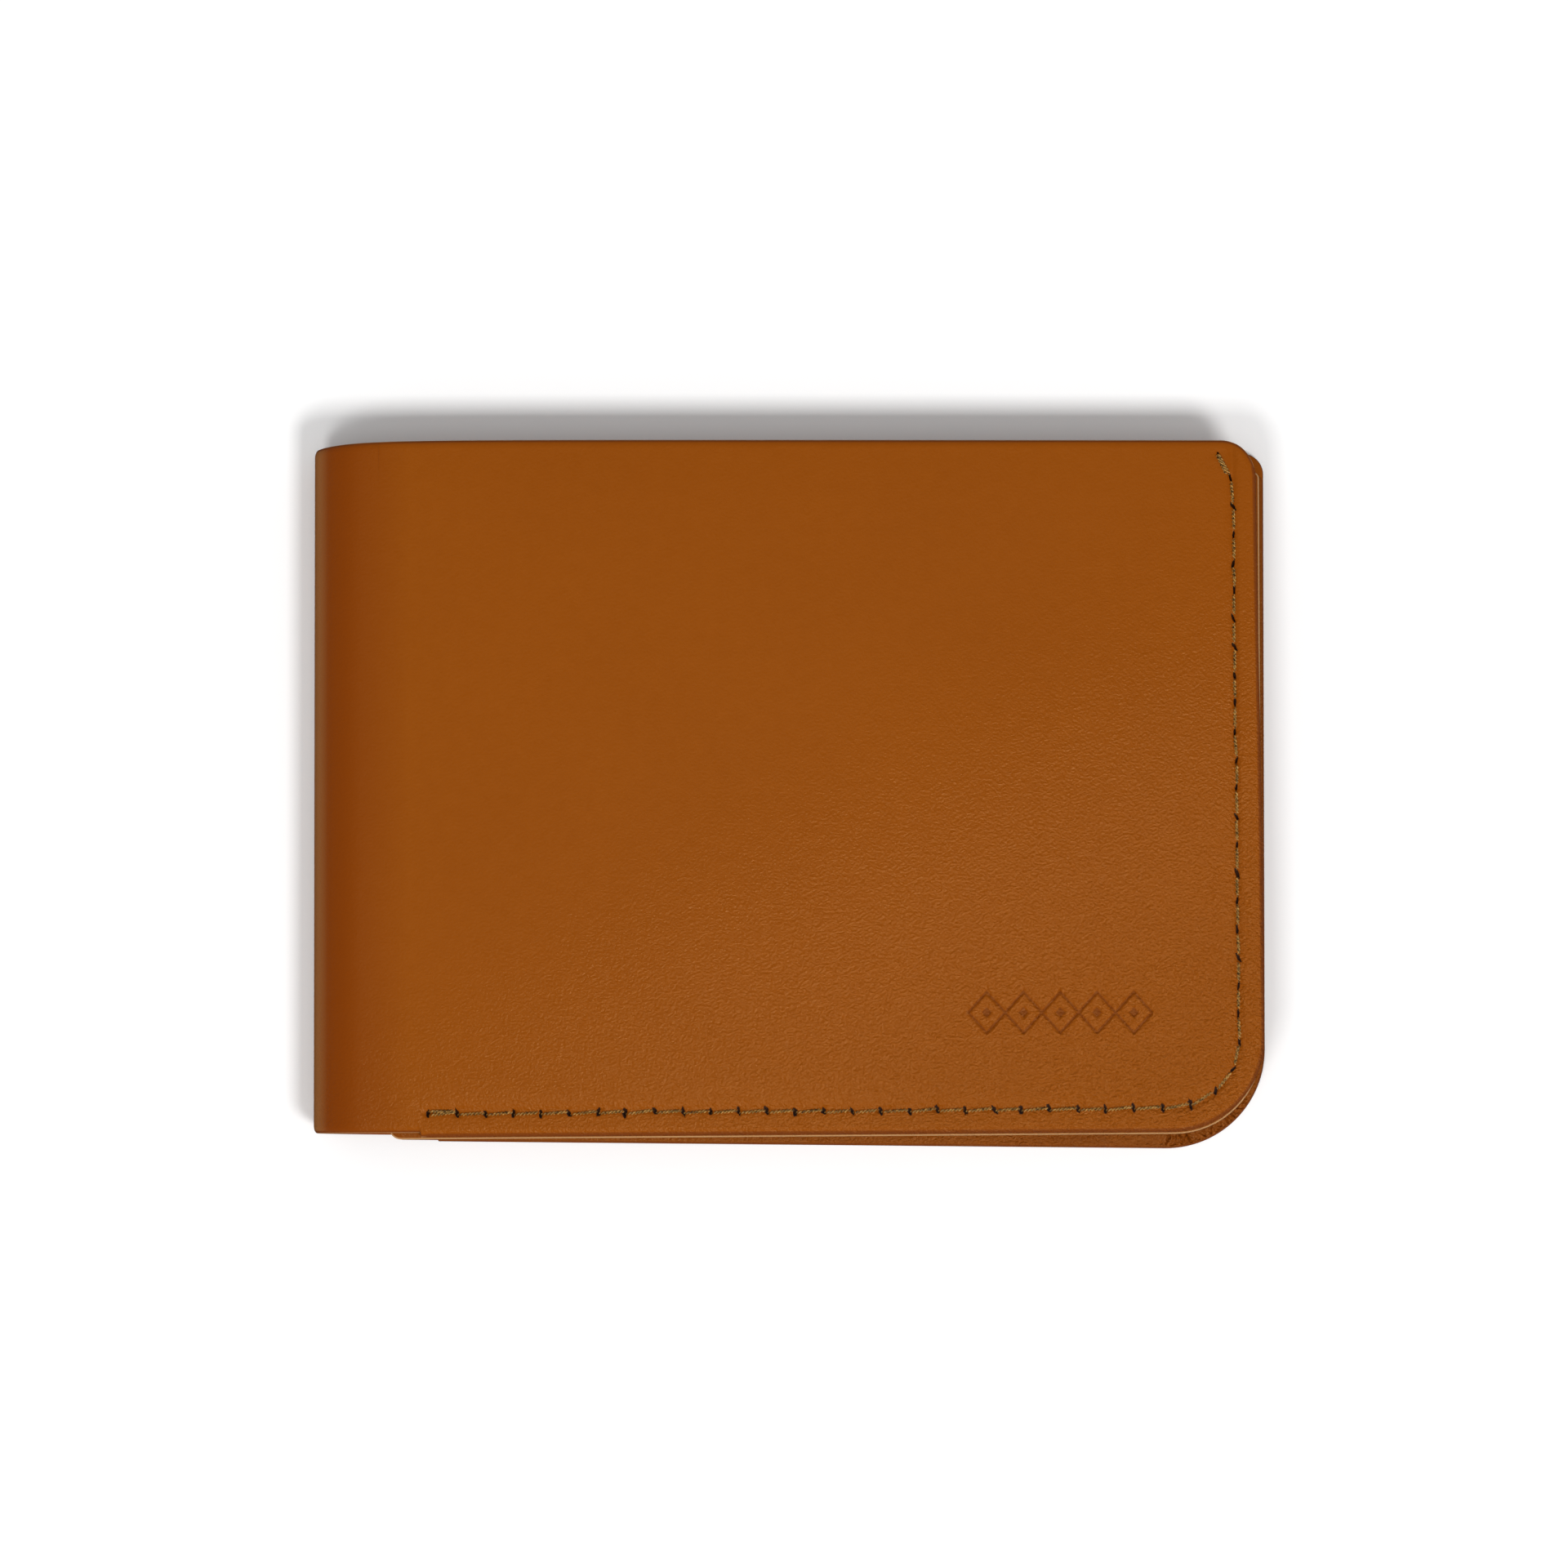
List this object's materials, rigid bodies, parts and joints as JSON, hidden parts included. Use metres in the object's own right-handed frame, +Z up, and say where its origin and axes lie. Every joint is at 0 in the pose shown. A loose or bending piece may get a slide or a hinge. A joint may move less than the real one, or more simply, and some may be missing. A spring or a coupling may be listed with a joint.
{
  "type": "bifold wallet",
  "caption": "Slim leather bifold wallet with a wrapped spine, an open-topped note compartment, staggered card pockets in both halves and a rounded stitched outer corner.",
  "frame": {"origin": "middle of the closed wallet's footprint, on the surface it lies on", "axes": "+X from the folded spine to the stitched end, +Y towards the mouths of the note compartment and pockets, +Z up through the closed wallet's thickness from the back cover to the front cover"},
  "size_m": [0.117, 0.0869, 0.0105],
  "materials": {
    "tan_leather": "smooth semi-gloss tan, very fine grain",
    "inside_leather": "smooth satin tan",
    "lining_fabric": "matt brown woven lining",
    "olive_thread": "twisted waxed thread"
  },
  "bodies": {
    "back_half": {"back_cover": "tan_leather", "back_edge_seam": "olive_thread", "back_note_lining": "lining_fabric", "back_inner_panel": "inside_leather", "back_slip_panel": "inside_leather", "back_card_pocket_1": "inside_leather", "back_card_pocket_2": "inside_leather", "back_card_pocket_3": "inside_leather", "back_pocket_seam": "olive_thread"},
    "spine": {"spine_cover": "tan_leather", "spine_lining": "inside_leather"},
    "front_half": {"front_cover": "tan_leather", "front_edge_seam": "olive_thread", "front_note_lining": "lining_fabric", "front_inner_panel": "inside_leather", "front_slip_panel": "inside_leather", "front_card_pocket_1": "inside_leather", "front_card_pocket_2": "inside_leather", "front_card_pocket_3": "inside_leather", "front_pocket_seam": "olive_thread"}
  },
  "joints": [
    {"name": "back_fold", "type": "hinge", "parent": "back_half", "child": "spine", "pos_m": [-0.05695, 0, 0.00155], "axis": [0, -1, 0], "range_deg": [0, 90]},
    {"name": "front_fold", "type": "hinge", "parent": "spine", "child": "front_half", "pos_m": [-0.05695, 0, 0.00895], "axis": [0, -1, 0], "range_deg": [0, 90]}
  ],
  "couplings": [
    {"joint": "front_fold", "follows": "back_fold", "ratio": 1}
  ]
}
